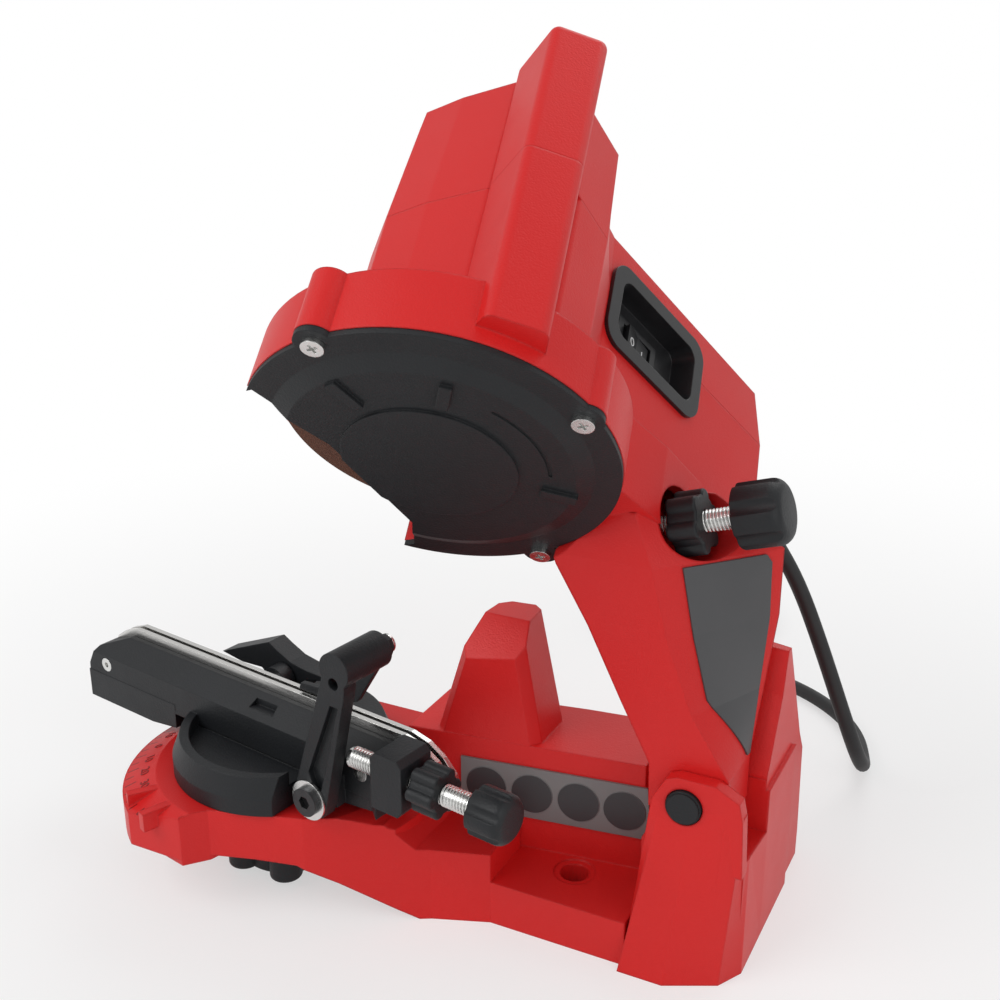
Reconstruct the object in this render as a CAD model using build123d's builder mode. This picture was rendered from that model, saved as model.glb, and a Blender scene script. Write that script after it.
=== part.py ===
from build123d import *
import os
from math import atan2, cos, degrees, radians, sin, sqrt, tan

os.makedirs("parts", exist_ok=True)

# Bench chain sharpener, millimetres. Origin: midway between the two bench screws, on the resting plane.
# +X runs from the turntable to the arm pivot, +Y to the back of the bench, +Z up.

# ---- driving dimensions ----
table_x = -121.5            # turntable axis from the origin
table_y = -50.0
deck_z = 63.0               # flat top of the base
disc_r = 54.0               # 108 mm grinding disc
disc_t = 3.2
disc_bore_r = 11.5          # 23 mm bore
disc_lean = 17.0            # tilt of the disc's level line while the arm is up
disc_tilt = 40.0            # tilt of the disc axis from the horizontal
swing_x = 167.0             # arm pivot from the turntable axis
swing_z = 67.0
rail_turn = 170.0           # direction of the rail's far end, from +X
rod_r = 4.0                 # M8 adjusting rods
wall = 3.0                  # plastic wall
cord_r = 3.3
stop_z = 54.5              # pivot height of the stop arm
clamp_z = 69.5             # pivot height of the clamping lever
screw_hole_r = 5.5          # bench screw holes
hole_front_y = 12.6
hole_rear_y = 87.4
hole_x = 121.5

# ---- reference planes ----
foot = Vector(table_x, table_y, 0)
plan = Plane(origin=foot, x_dir=(1, 0, 0), z_dir=(0, 0, 1))
front = Plane(origin=foot, x_dir=(1, 0, 0), z_dir=(0, -1, 0))
side = Plane(origin=foot, x_dir=(0, 1, 0), z_dir=(1, 0, 0))

a = radians(rail_turn)
rail_dir = Vector(cos(a), sin(a), 0)
rail_out = Vector(-sin(a), cos(a), 0)
table_at = foot + Vector(2.5, -5, 0)
table_plan = Plane(origin=table_at)
rail_plan = Plane(origin=table_at, x_dir=rail_dir, z_dir=(0, 0, 1))
rail_side = Plane(origin=table_at, x_dir=rail_dir, z_dir=rail_out * -1)
rail_end = Plane(origin=table_at, x_dir=rail_out, z_dir=rail_dir)

lean = radians(disc_lean)
tilt = radians(disc_tilt)
head_u = Vector(cos(lean), 0, sin(lean))
head_n = Vector(-sin(lean) * sin(tilt), cos(tilt), cos(lean) * sin(tilt))
disc_at = foot + Vector(83.5, -18.0, 200.0)
head = Plane(origin=disc_at, x_dir=head_u, z_dir=head_n)
head_v = head.y_dir
across = Plane(origin=disc_at, x_dir=head_v, z_dir=head_u)

rod_at = foot + Vector(142.0, 27.0, 156.4)
rod_plane = Plane(origin=rod_at, x_dir=(0, 1, 0), z_dir=head_u)
pivot_at = foot + Vector(swing_x, 0, swing_z)
pivot = Plane(origin=pivot_at, x_dir=(1, 0, 0), z_dir=(0, 1, 0))

wall_turn = atan2(14.0, 100.0)
wall_plane = Plane(origin=foot + Vector(50, 12.1, 0), x_dir=(cos(wall_turn), sin(wall_turn), 0),
                   z_dir=(sin(wall_turn), -cos(wall_turn), 0))

# =====================================================================
# Base: one hollow moulding with platform, deck, pillar, cheek and rear housing
# =====================================================================
with BuildPart() as cheek_block:
    with BuildSketch(plan):
        Polygon((149, -12), (166, -12), (184, -3), (189.5, 7), (189.5, 32), (149, 32), align=None)
    with BuildSketch(plan.offset(67)):
        Polygon((155, 0), (168, 0), (182, 0), (188, 2), (188, 32), (155, 32), align=None)
    loft(ruled=True)

with BuildPart() as pillar_block:
    with BuildSketch(plan.offset(60)):
        Polygon((60, 13.8), (103, 19.6), (103, 46), (60, 44), align=None)
    with BuildSketch(plan.offset(111)):
        Polygon((74, 17), (94, 19.6), (92.5, 45), (76.5, 43), align=None)
    loft(ruled=True)
    chamfer(pillar_block.edges().filter_by(lambda e: abs(e.tangent_at(0.5).Z) > 0.7), 3.5)
    with BuildSketch(side.offset(50)):
        Polygon((8, 86.5), (18, 97), (30, 109.5), (50, 109.5), (50, 113), (8, 113), align=None)
    extrude(amount=60, mode=Mode.SUBTRACT)

with BuildPart() as front_arm:
    with BuildSketch(plan):
        Polygon((-8, -58), (-1, -50), (34, -39), (75, -16), (96, -8), (96, 18), (40, 18), (0, 0), align=None)
    extrude(amount=52)
    with BuildSketch(front.offset(-20)):
        Polygon((-8, 26), (0, 27), (31, 25), (45, 17), (63, 5), (71, 0), (97, 0), (97, 30), (70, 31), (60, 42),
                (30, 45), (-8, 45), align=None)
    extrude(amount=80, mode=Mode.INTERSECT)

with BuildPart() as platform:
    with BuildSketch(table_plan.offset(26)):
        Circle(63.6)
    extrude(amount=14)
    with BuildSketch(table_plan.offset(40)):
        Circle(63.3)
    with BuildSketch(table_plan.offset(45.6)):
        Circle(50.5)
    loft()
    with BuildSketch(plan):
        Polygon((-70, -58), (-8, -58), (-1, -50), (34, -39), (75, -16), (100, 0), (100, 80), (-70, 80), align=None)
    extrude(amount=60, mode=Mode.INTERSECT)

with BuildPart() as base:
    # deck block
    with BuildSketch(plan):
        Polygon((50, 12.1), (150, 26.1), (150, 6), (188, 6), (189.5, 30), (189.5, 66), (150, 61),
                (108, 55.5), (88, 52), (50, 46), align=None)
    extrude(amount=deck_z)
    # cheek in front of the arm, pillar under the depth screw, long arm to the platform
    add(cheek_block.part)
    add(pillar_block.part)
    add(front_arm.part)
    # rear housing behind the arm
    with BuildSketch(side.offset(150)):
        Polygon((29.5, 0), (29.5, 68), (43.5, 100), (46.5, 113), (54, 113), (77, 64), (84, 52), (88, 12), (88, 0),
                align=None)
    with BuildSketch(side.offset(188)):
        Polygon((29.5, 0), (29.5, 68), (43.5, 94), (47.5, 110), (51, 110), (77, 62), (84, 52), (88, 12), (88, 0),
                align=None)
    loft(ruled=True)
    # feet flange with both bench screw holes
    with BuildSketch(plan):
        Polygon((62, -8), (150, -8), (150, 30), (100, 30), (62, 20), align=None)
        Polygon((96, 40), (96, 92), (103, 98), (180, 98), (187, 92), (187, 40), align=None)
    extrude(amount=18)
    # round platform with its scale cone, cut off by the straight front wall
    add(platform.part)
    with BuildSketch(plan.offset(26)):
        Polygon((0, -40), (62, -10), (62, 44), (40, 50), (0, 50), align=None)
    extrude(amount=20)
    # corner block of the platform, with two pointer ridges on the cone
    with BuildSketch(plan.offset(24)):
        Polygon((-39, -44), (-36, -52), (-8, -58), (-1, -50), (4, -34), (-22, -24), align=None)
    extrude(amount=18)
    with BuildSketch(table_plan.offset(38)):
        with PolarLocations(55, 2, start_angle=232, angular_range=30):
            Rectangle(15, 3.6)
    extrude(amount=7.4)
    # hollow underneath
    with BuildSketch(plan):
        Polygon((70, 18.5), (146, 29), (154, 4), (184, 8), (184, 60), (146, 56), (108, 50.5), (92, 47),
                (70, 44), align=None)
    extrude(amount=40, mode=Mode.SUBTRACT)
    with BuildSketch(plan.offset(40)):
        Polygon((70, 21), (142, 31), (142, 52), (108, 49), (92, 47), (70, 42), align=None)
    extrude(amount=deck_z - 44, mode=Mode.SUBTRACT)
    with BuildSketch(side.offset(153)):
        Polygon((33.5, -1), (33.5, 68), (46, 98), (49, 104), (73, 59), (79.5, 49), (83.5, 12), (83.5, -1),
                align=None)
    extrude(amount=31, mode=Mode.SUBTRACT)
    with BuildSketch(table_plan):
        Circle(58)
        Polygon((-80, -39), (-22, -39), (-4.5, -41), (30.5, -30.5), (71.5, -7.5), (97.5, 1), (97.5, -90),
                (-80, -90), align=None, mode=Mode.SUBTRACT)
    extrude(amount=37, mode=Mode.SUBTRACT)
    with BuildSketch(plan):
        Polygon((56, -6), (90, -4), (90, 14), (60, 14), align=None)
    extrude(amount=28, mode=Mode.SUBTRACT)
    # rim that carries the platform, and a web under its centre
    with BuildSketch(table_plan.offset(26)):
        Circle(22)
    extrude(amount=19)
    # slot for the arm's tongue
    with BuildSketch(plan.offset(46)):
        Polygon((144, 5.6), (200, 5.6), (200, 29.2), (144, 29.2), align=None)
    extrude(amount=90, mode=Mode.SUBTRACT)
    # cheek plate around the pivot
    with BuildSketch(front.offset(-5.6)):
        with BuildLine():
            Polyline((155, 44), (155.4, 68), (160, 76), (164, 77.6), (178, 77.6), (186.5, 73), (188, 66),
                     (189, 44), close=True)
        make_face()
    extrude(amount=5.6)
    # openings: turntable bolt, bench screws, pivot bolt and its cap
    with BuildSketch(table_plan.offset(20)):
        Circle(6.2)
    extrude(amount=40, mode=Mode.SUBTRACT)
    with Locations((plan.offset(30) * Pos(hole_x, hole_front_y)), (plan.offset(30) * Pos(hole_x, hole_rear_y))):
        Hole(radius=screw_hole_r, depth=40)
    with Locations(plan.offset(18) * Pos(hole_x, hole_front_y)):
        CounterBoreHole(radius=screw_hole_r, counter_bore_radius=8, counter_bore_depth=0.6, depth=30)
    with Locations(Plane(origin=pivot_at - Vector(0, 20, 0), x_dir=(1, 0, 0), z_dir=(0, -1, 0)).location):
        Hole(radius=4.05, depth=60)
    with BuildSketch(Plane(origin=pivot_at - Vector(0, 20, 0), x_dir=(1, 0, 0), z_dir=(0, 1, 0))):
        Circle(6.7)
    extrude(amount=22, mode=Mode.SUBTRACT)
    # room for the pivot nut
    with BuildSketch(pivot.offset(33.5)):
        Circle(9)
    extrude(amount=14, mode=Mode.SUBTRACT)
    # pocket for the underside plate
    with BuildSketch(plan):
        Polygon((67, 15.3), (146, 26.3), (151.5, 0), (180, 2), (186.5, 10), (186.5, 86), (150, 86), (146, 60),
                (92, 51), (67, 47), align=None)
    extrude(amount=2, mode=Mode.SUBTRACT)
base.part.label = "base_housing"
export_step(base.part, "parts/base_housing.step")

with BuildPart() as underside:
    with BuildSketch(plan.offset(0.4)):
        Polygon((67.3, 15.7), (146.3, 26.7), (151.8, 0.4), (179.8, 2.4), (186.2, 10.2), (186.2, 85.7),
                (150.3, 85.7), (146.3, 59.7), (92.2, 50.7), (67.3, 46.7), align=None)
    extrude(amount=1.5)
underside.part.label = "underside_plate"
export_step(underside.part, "parts/underside_plate.step")

# plain grey panel on the slanted front wall, with four shallow round fields
with BuildPart() as info:
    with BuildSketch(wall_plane):
        Polygon((22, 32), (98, 32), (96, 54), (22, 54), align=None)
    extrude(amount=1)
    with BuildSketch(wall_plane.offset(1)):
        with Locations((32.5, 43), (51, 43), (69.5, 43), (87.5, 43)):
            Circle(8.2)
    extrude(amount=0.3)
info.part.label = "info_panel"
export_step(info.part, "parts/info_panel.step")

# =====================================================================
# Arm pivot
# =====================================================================
with BuildPart() as bolt:
    with BuildSketch(pivot.offset(2)):
        RegularPolygon(5.2, 6)
    extrude(amount=-3)
    with BuildSketch(pivot.offset(2)):
        Circle(rod_r)
    extrude(amount=42)
bolt.part.label = "pivot_bolt"
export_step(bolt.part, "parts/pivot_bolt.step")

with BuildPart() as cap:
    with BuildSketch(pivot.offset(1.9)):
        Circle(6.4)
        RegularPolygon(5.3, 6, mode=Mode.SUBTRACT)
    extrude(amount=-3)
    with BuildSketch(pivot.offset(-1.1)):
        Circle(5.8)
    extrude(amount=-0.9)
cap.part.label = "pivot_cap"
export_step(cap.part, "parts/pivot_cap.step")

with BuildPart() as nut:
    with BuildSketch(pivot.offset(34.5)):
        RegularPolygon(7.2, 6)
        Circle(rod_r, mode=Mode.SUBTRACT)
    extrude(amount=6.5)
nut.part.label = "pivot_nut"
export_step(nut.part, "parts/pivot_nut.step")

with BuildPart() as nut_washer:
    with BuildSketch(pivot.offset(33.5)):
        Circle(8)
        Circle(rod_r + 0.05, mode=Mode.SUBTRACT)
    extrude(amount=1)
nut_washer.part.label = "pivot_washer"
export_step(nut_washer.part, "parts/pivot_washer.step")

bush_len = 4.0
for label, start in (("bush_front", 6.2), ("bush_rear", 24.4)):
    with BuildPart() as bush:
        with BuildSketch(pivot.offset(start)):
            Circle(7)
            Circle(rod_r + 0.05, mode=Mode.SUBTRACT)
        extrude(amount=bush_len)
    bush.part.label = label
    export_step(bush.part, f"parts/{label}.step")

# torsion spring around the bolt inside the arm's hub
with BuildPart() as spring:
    with BuildLine() as coil:
        Helix(pitch=1.9, height=11.4, radius=7.2, center=(0, 0, 0))
    with BuildSketch(Plane(origin=coil.line @ 0, z_dir=coil.line % 0)):
        Circle(0.75)
    sweep(is_frenet=True)
spring_part = pivot.offset(11.3).location * spring.part
spring_part.label = "return_spring"
export_step(spring_part, "parts/return_spring.step")

# =====================================================================
# Turntable with chain rail
# =====================================================================
with BuildPart() as table:
    with BuildSketch(rail_plan.offset(46)):
        Circle(43.6)
    extrude(amount=6.5)
    with BuildSketch(rail_plan.offset(52.5)):
        Circle(43.6)
    with BuildSketch(rail_plan.offset(60.5)):
        Circle(40.4)
    loft()
    # shallow pocket in front of the rail
    with BuildSketch(rail_plan.offset(55)):
        Circle(36.8)
        with Locations((0, -27)):
            Rectangle(100, 84, mode=Mode.SUBTRACT)
    extrude(amount=10, mode=Mode.SUBTRACT)
    # rail body
    with BuildSketch(rail_end.offset(-66)):
        Polygon((-13, 56), (-13, 66), (-5, 70.5), (-3.6, 74.5), (5.5, 75.5), (15, 69), (15.5, 56), align=None)
    extrude(amount=168)
    with BuildSketch(rail_side.offset(-30)):
        Polygon((102.5, 40), (102.5, 62), (98, 71), (84, 76), (84, 90), (110, 90), (110, 40), align=None)
    extrude(amount=60, mode=Mode.SUBTRACT)
    with BuildSketch(rail_side.offset(-15.5)):
        Polygon((47, 49.5), (62, 47.5), (102.5, 47.5), (102.5, 60), (47, 60), align=None)
    extrude(amount=28.5)
    with BuildSketch(rail_side.offset(-15)):
        Polygon((-46, 49.5), (-66, 52), (-66, 60), (-40, 60), align=None)
    extrude(amount=28)
    # notch in the front chamfer
    with BuildSketch(rail_side.offset(-16)):
        Polygon((6, 71), (4, 78), (-5, 78), (-7, 71), align=None)
    extrude(amount=8, mode=Mode.SUBTRACT)
    # lug for the adjusting screw
    with BuildSketch(rail_side.offset(-28)):
        with BuildLine():
            Polyline((-72, 64.5), (-84, 64.5), (-86, 67), (-86, 84), (-84, 86.5), (-74, 86.5), (-72, 84), close=True)
        make_face()
    extrude(amount=16)
    with BuildSketch(rail_plan.offset(58)):
        Polygon((-60, 12), (-72, 12), (-72, 26), (-64, 20), (-60, 15), align=None)
    extrude(amount=12)
    # slot for the two steel strips, and the strip screws' holes
    with BuildSketch(rail_end.offset(-80)):
        Polygon((-3, 60.5), (3, 60.5), (3, 80), (-3, 80), align=None)
    extrude(amount=190, mode=Mode.SUBTRACT)
    with BuildSketch(rail_side.offset(-20)):
        with Locations((90.5, 65), (-55, 65)):
            Circle(1.75)
    extrude(amount=40, mode=Mode.SUBTRACT)
    with BuildSketch(rail_side.offset(-20)):
        with Locations((90.5, 65), (-55, 65)):
            Circle(3.05)
    extrude(amount=6.6, mode=Mode.SUBTRACT)
    with BuildSketch(Plane(origin=table_at + rail_dir * -77 + Vector(0, 0, 75.5) + rail_out * 20,
                           x_dir=rail_out, z_dir=rail_dir)):
        Circle(5)
    extrude(amount=12, both=True, mode=Mode.SUBTRACT)
    # bolt of the stop arm, centre bolt
    with BuildSketch(rail_side.offset(-19.6)):
        Polygon((-47, 50), (-33, 50), (-33, 62), (-47, 62), align=None)
    extrude(amount=8)
    with BuildSketch(rail_side.offset(-60)):
        Polygon((-66, 45), (-27.5, 45), (-27.5, 68), (-66, 68), align=None)
    extrude(amount=40.4, mode=Mode.SUBTRACT)
    with BuildSketch(rail_side.offset(-19.9)):
        with Locations((-40, stop_z)):
            Circle(2.55)
    extrude(amount=12, mode=Mode.SUBTRACT)
    with BuildSketch(rail_side.offset(-20)):
        with Locations((-40, stop_z)):
            Circle(4.05)
    extrude(amount=1, mode=Mode.SUBTRACT)
    with BuildSketch(rail_plan.offset(45)):
        Circle(5)
    extrude(amount=15.5, mode=Mode.SUBTRACT)
    with BuildSketch(rail_plan.offset(54)):
        RegularPolygon(9.3, 6)
    extrude(amount=6.5, mode=Mode.SUBTRACT)
    # half lug behind for the clamping lever
    with BuildSketch(rail_side.offset(11)):
        with Locations((16, clamp_z)):
            Circle(6)
    extrude(amount=6)
    with BuildSketch(rail_side.offset(3)):
        with Locations((16, clamp_z)):
            Circle(3)
    extrude(amount=15, mode=Mode.SUBTRACT)
table.part.label = "turntable"
export_step(table.part, "parts/turntable.step")

# two steel strips; the drive links of a chain run in the 1.8 mm gap between them
for label, inner in (("strip_front", -2.9), ("strip_rear", 0.9)):
    with BuildPart() as strip:
        with BuildSketch(rail_side.offset(inner)):
            Polygon((99, 61), (99, 68), (97, 72.5), (92, 76), (84, 79), (-66, 79), (-74, 77.2), (-81, 73),
                    (-86, 67.5), (-88, 61), (-80, 61), align=None)
        extrude(amount=2)
        with BuildSketch(rail_side.offset(inner)):
            with Locations((90.5, 65), (-55, 65)):
                Circle(2.1)
        extrude(amount=2, mode=Mode.SUBTRACT)
    strip.part.label = label
    export_step(strip.part, f"parts/{label}.step")

# screws that hold the strips in the rail
for label, along in (("strip_screw_left", 90.5), ("strip_screw_right", -55)):
    with BuildPart() as screw:
        with BuildSketch(rail_side.offset(-15.2)):
            with Locations((along, 65)):
                Circle(3)
                RegularPolygon(1.2, 6, mode=Mode.SUBTRACT)
        extrude(amount=1.8)
        with BuildSketch(rail_side.offset(-13.4)):
            with Locations((along, 65)):
                Circle(1.75)
        extrude(amount=24)
    screw.part.label = label
    export_step(screw.part, f"parts/{label}.step")

# centre bolt of the turntable, washer and locking knob under the platform
with BuildPart() as centre_bolt:
    with BuildSketch(rail_plan.offset(54.2)):
        RegularPolygon(9.1, 6)
    extrude(amount=6)
    with BuildSketch(rail_plan.offset(6)):
        Circle(5)
    extrude(amount=50)
centre_bolt.part.label = "turntable_bolt"
export_step(centre_bolt.part, "parts/turntable_bolt.step")

with BuildPart() as lock_washer:
    with BuildSketch(table_plan.offset(24)):
        Circle(13)
        Circle(5.2, mode=Mode.SUBTRACT)
    extrude(amount=1.7)
lock_washer.part.label = "lock_washer"
export_step(lock_washer.part, "parts/lock_washer.step")

with BuildPart() as lock_knob:
    with BuildSketch(table_plan.offset(4)):
        Circle(20)
        with PolarLocations(20, 6):
            Circle(6.5)
    extrude(amount=14)
    fillet(lock_knob.edges().filter_by(GeomType.CIRCLE), 1.2)
    with BuildSketch(table_plan.offset(18)):
        Circle(12)
    extrude(amount=5.7)
    with BuildSketch(table_plan.offset(5)):
        Circle(5.06)
    extrude(amount=20, mode=Mode.SUBTRACT)
lock_knob.part.label = "lock_knob"
export_step(lock_knob.part, "parts/lock_knob.step")

# =====================================================================
# Chain clamp behind the rail
# =====================================================================
with BuildPart() as clamp_pin:
    with BuildSketch(rail_side.offset(3.2)):
        with Locations((16, clamp_z)):
            Circle(3)
    extrude(amount=27)
clamp_pin.part.label = "clamp_pin"
export_step(clamp_pin.part, "parts/clamp_pin.step")

with BuildPart() as clamp_lever:
    with BuildSketch(rail_side.offset(17.6)):
        with BuildLine():
            Polyline((54, 69.4), (25, 82), (20, 79.5), (13, 76.5), (4, 75.2), (-4, 75.2), (-8, 74.4), (-4, 73),
                     (4, 71), (8, 65), (13, 62.4), (19, 62.4), (25, 65), (30, 69), (42, 68), close=True)
        make_face()
    extrude(amount=9)
    with BuildSketch(rail_side.offset(17.6)):
        with Locations((16, clamp_z)):
            Circle(3.06)
    extrude(amount=9, mode=Mode.SUBTRACT)
clamp_lever.part.label = "clamp_lever"
export_step(clamp_lever.part, "parts/clamp_lever.step")

with BuildPart() as clamp_clip:
    with BuildSketch(rail_side.offset(27)):
        with Locations((16, clamp_z)):
            Circle(5)
            Circle(3.05, mode=Mode.SUBTRACT)
    extrude(amount=1.2)
clamp_clip.part.label = "clamp_clip"
export_step(clamp_clip.part, "parts/clamp_clip.step")

# =====================================================================
# Stop arm with pin and pawl
# =====================================================================
with BuildPart() as stop_arm:
    with BuildSketch(rail_side.offset(-26.4)):
        with BuildLine():
            Polyline((-32, 55), (-48.5, 105), (-50, 111), (-55, 115), (-60, 111), (-59.5, 103), (-48, 53),
                     (-46.2, 48.8), (-40, 46.6), (-34, 48.8), close=True)
        make_face()
    extrude(amount=6)
    with BuildSketch(rail_side.offset(-26.4)):
        with Locations((-55, 111)):
            Circle(6.8)
    extrude(amount=23)
    # long recess on the face, small hole near the top
    with BuildSketch(rail_side.offset(-26.4)):
        Polygon((-40, 66), (-52.5, 97), (-56.5, 97), (-55, 92), (-46, 60), (-43, 59), align=None)
    extrude(amount=2.5, mode=Mode.SUBTRACT)
    with BuildSketch(rail_side.offset(-26.4)):
        with Locations((-54.6, 106)):
            Circle(2.3)
    extrude(amount=8, mode=Mode.SUBTRACT)
    with BuildSketch(rail_side.offset(-20)):
        with Locations((-55, 111)):
            Circle(2.8)
    extrude(amount=20, mode=Mode.SUBTRACT)
    with BuildSketch(rail_side.offset(-30)):
        with Locations((-40, stop_z)):
            Circle(4.05)
    extrude(amount=30, mode=Mode.SUBTRACT)
stop_arm.part.label = "stop_arm"
export_step(stop_arm.part, "parts/stop_arm.step")

with BuildPart() as stop_bolt:
    with BuildSketch(rail_side.offset(-29.5)):
        with Locations((-40, stop_z)):
            Circle(5.6)
            RegularPolygon(2.6, 6, mode=Mode.SUBTRACT)
    extrude(amount=2)
    with BuildSketch(rail_side.offset(-27.5)):
        with Locations((-40, stop_z)):
            Circle(4)
    extrude(amount=7.6)
    with BuildSketch(rail_side.offset(-19.9)):
        with Locations((-40, stop_z)):
            Circle(2.55)
    extrude(amount=12)
stop_bolt.part.label = "stop_bolt"
export_step(stop_bolt.part, "parts/stop_bolt.step")

with BuildPart() as washer_ring:
    with BuildSketch(rail_side.offset(-27.5)):
        with Locations((-40, stop_z)):
            Circle(7.9)
            Circle(4.05, mode=Mode.SUBTRACT)
    extrude(amount=1)
washer_ring.part.label = "stop_washer"
export_step(washer_ring.part, "parts/stop_washer.step")

with BuildPart() as stop_pin:
    with BuildSketch(rail_side.offset(-19.8)):
        with Locations((-55, 111)):
            Circle(2.8)
    extrude(amount=22.8)
    chamfer(stop_pin.faces().sort_by(Axis(foot, rail_out))[0].edges(), 0.5)
stop_pin.part.label = "stop_pin"
export_step(stop_pin.part, "parts/stop_pin.step")

with BuildPart() as pin_ring:
    with BuildSketch(rail_side.offset(1.2)):
        with Locations((-55, 111)):
            Circle(3.7)
            Circle(2.8, mode=Mode.SUBTRACT)
    extrude(amount=1)
pin_ring.part.label = "pin_ring"
export_step(pin_ring.part, "parts/pin_ring.step")

with BuildPart() as pawl:
    with BuildSketch(rail_side.offset(-1.4)):
        with BuildLine():
            Polyline((-59.4, 111), (-58, 107.6), (-55.5, 106), (-42, 84.4), (-34, 80.4), (-14, 80.2),
                     (-11.5, 80.2), (-12.5, 83), (-31, 84.6), (-37, 88.5), (-50.8, 110), (-52.3, 113.4),
                     (-55, 115.2), (-58, 114), close=True)
        make_face()
    extrude(amount=2.3)
    with BuildSketch(rail_side.offset(-1.4)):
        with Locations((-55, 111)):
            Circle(2.85)
    extrude(amount=2.3, mode=Mode.SUBTRACT)
pawl.part.label = "stop_pawl"
export_step(pawl.part, "parts/stop_pawl.step")

# adjusting screw that pushes the stop arm
adjust_at = table_at + rail_out * 20 + Vector(0, 0, 75.5)
adjust = Plane(origin=adjust_at, x_dir=rail_out, z_dir=rail_dir)
with BuildPart() as adjuster_screw:
    with BuildSketch(adjust.offset(-118)):
        Circle(rod_r)
    extrude(amount=62)
    chamfer(adjuster_screw.edges().filter_by(GeomType.CIRCLE), 0.8)
adjuster_screw.part.label = "adjuster_screw"
export_step(adjuster_screw.part, "parts/adjuster_screw.step")

with BuildPart() as adjuster_lock:
    with BuildSketch(adjust.offset(-99)):
        Circle(7.2)
        with PolarLocations(6.4, 6):
            Circle(2.6)
    extrude(amount=11)
    fillet(adjuster_lock.faces().filter_by(Axis(foot, rail_dir)).edges(), 0.8)
    with BuildSketch(adjust.offset(-99)):
        Circle(rod_r + 0.06)
    extrude(amount=12, mode=Mode.SUBTRACT)
adjuster_lock.part.label = "adjuster_lock_nut"
export_step(adjuster_lock.part, "parts/adjuster_lock_nut.step")

with BuildPart() as adjuster_knob:
    with BuildSketch(adjust.offset(-127)):
        Circle(7.4)
        with PolarLocations(6.4, 6):
            Circle(2.6)
    extrude(amount=14)
    with BuildSketch(adjust.offset(-118.5)):
        Circle(rod_r + 0.06)
    extrude(amount=10, mode=Mode.SUBTRACT)
    fillet(adjuster_knob.faces().sort_by(Axis(foot, rail_dir))[0].outer_wire().edges(), 1.2)
adjuster_knob.part.label = "adjuster_knob"
export_step(adjuster_knob.part, "parts/adjuster_knob.step")

# =====================================================================
# Head: two half shells around motor, fin and arm
# =====================================================================
seam = 60.0
motor_shape = [(-34, -14), (-30, -22), (-20, -31), (-13, -37), (4, -38), (26.7, -36.6), (43, -20), (53, -24),
               (53, -2.5), (43.6, 18.7), (46, 34), (5, 34), (-22, 28), (-31, 18), (-35, 0)]
fin_shape = [(26.7, -36.6), (47.7, -48.7), (60.9, -35.3), (43, -10.5), (28, -16)]
arm_shape = [(5, 20), (43.6, 18.7), (60.4, 120), (42, 120), (34, 85), (27, 62), (8, 45)]
opening_side = [(-80, -47.7), (-36.6, -47.7), (-33.6, -36.8), (-27, -18.4), (-26.3, 30), (-36.5, 46), (-80, 46)]
lug_at = [(-3, -60), (57, -4), (7, 62)]

with BuildPart() as arm_low:
    for low, high, quad_low, quad_high in (
            (60, 77, [(152, 6), (181.5, 6), (181.5, 28), (153, 28)], [(151.5, 6), (180.5, 6), (181.5, 28), (152, 28)]),
            (77, 99, [(151.5, 6), (180.5, 6), (181.5, 28), (152, 28)], [(140, 6), (166, 6), (182, 40), (146, 40)]),
            (99, 125, [(140, 6), (166, 6), (182, 40), (146, 40)], [(127, 6), (156, 6), (184, 45), (145, 45)]),
            (125, 150, [(127, 6), (156, 6), (184, 45), (145, 45)], [(112, 6), (149.5, 6), (184, 45), (134, 45)]),
            (150, 168, [(112, 6), (149.5, 6), (184, 45), (134, 45)], [(127, 10), (142, 8), (160, 40), (141, 42)])):
        with BuildSketch(plan.offset(low)):
            Polygon(*quad_low, align=None)
        with BuildSketch(plan.offset(high)):
            Polygon(*quad_high, align=None)
        loft(ruled=True)
    with BuildSketch(front.offset(-28)):
        with Locations((swing_x, swing_z)):
            Circle(13.5)
    extrude(amount=22)
    with BuildSketch(front.offset(-28)):
        Polygon((140, 40), (190, 40), (190, 53.5), (140, 53.5), align=None)
    extrude(amount=30, mode=Mode.SUBTRACT)

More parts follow.
